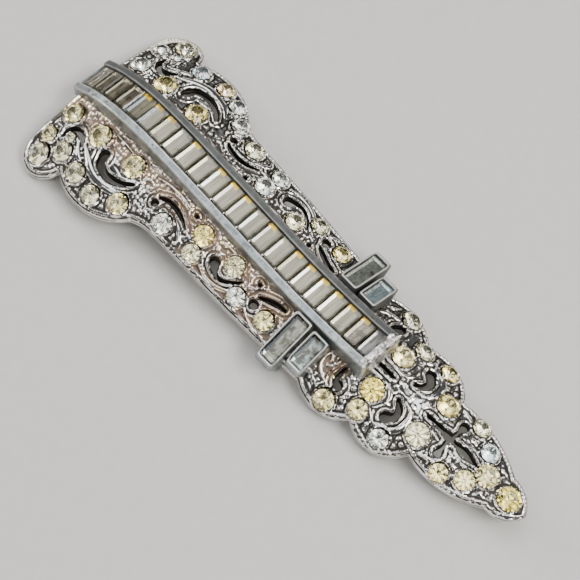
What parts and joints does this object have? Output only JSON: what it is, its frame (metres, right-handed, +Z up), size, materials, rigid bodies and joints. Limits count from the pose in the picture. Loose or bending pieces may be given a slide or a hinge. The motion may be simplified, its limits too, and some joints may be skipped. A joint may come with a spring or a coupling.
{
  "type": "dress clip",
  "caption": "Long tapering dress clip with a domed, pierced scroll casting, a raised channel of baguette stones, stepped side trays, round stones and a plain clip on its back.",
  "frame": {"origin": "centre of the clip's outline, on the surface that it lies on", "axes": "+X across to the wearer's side of the picture's right edge, +Y along the clip to its wide eared end, +Z up out of its face"},
  "size_m": [0.026, 0.0718, 0.0087],
  "materials": {
    "silver_casting": "bright rhodium plate over cast pot metal, with warm tarnish in the recesses",
    "clip_metal": "satin plated steel",
    "champagne_stone": "foiled glass with facets and a table",
    "smoky_baguette": "foiled step-cut glass, a little stained"
  },
  "bodies": {
    "root": {"plate": "silver_casting", "back_clip": "clip_metal", "baguette_01": "smoky_baguette", "baguette_02": "smoky_baguette", "baguette_03": "smoky_baguette", "baguette_04": "smoky_baguette", "baguette_05": "smoky_baguette", "baguette_06": "smoky_baguette", "baguette_07": "smoky_baguette", "baguette_08": "smoky_baguette", "baguette_09": "smoky_baguette", "baguette_10": "smoky_baguette", "baguette_11": "smoky_baguette", "baguette_12": "smoky_baguette", "baguette_13": "smoky_baguette", "baguette_14": "smoky_baguette", "baguette_15": "smoky_baguette", "baguette_16": "smoky_baguette", "baguette_17": "smoky_baguette", "baguette_18": "smoky_baguette", "baguette_19": "smoky_baguette", "baguette_20": "smoky_baguette", "baguette_21": "smoky_baguette", "baguette_22": "smoky_baguette", "baguette_23": "smoky_baguette", "side_baguette_large_left": "smoky_baguette", "side_baguette_large_right": "smoky_baguette", "side_baguette_small_left": "smoky_baguette", "side_baguette_small_right": "smoky_baguette", "stone_ear_left": "champagne_stone", "stone_ear_right": "champagne_stone", "stone_shoulder_left": "champagne_stone", "stone_shoulder_right": "champagne_stone", "stone_breast_left": "champagne_stone", "stone_breast_right": "champagne_stone", "stone_flank_left": "champagne_stone", "stone_flank_right": "champagne_stone", "stone_wing_left": "champagne_stone", "stone_wing_right": "champagne_stone", "stone_heart_left": "champagne_stone", "stone_heart_right": "champagne_stone", "stone_point": "champagne_stone"}
  },
  "joints": []
}
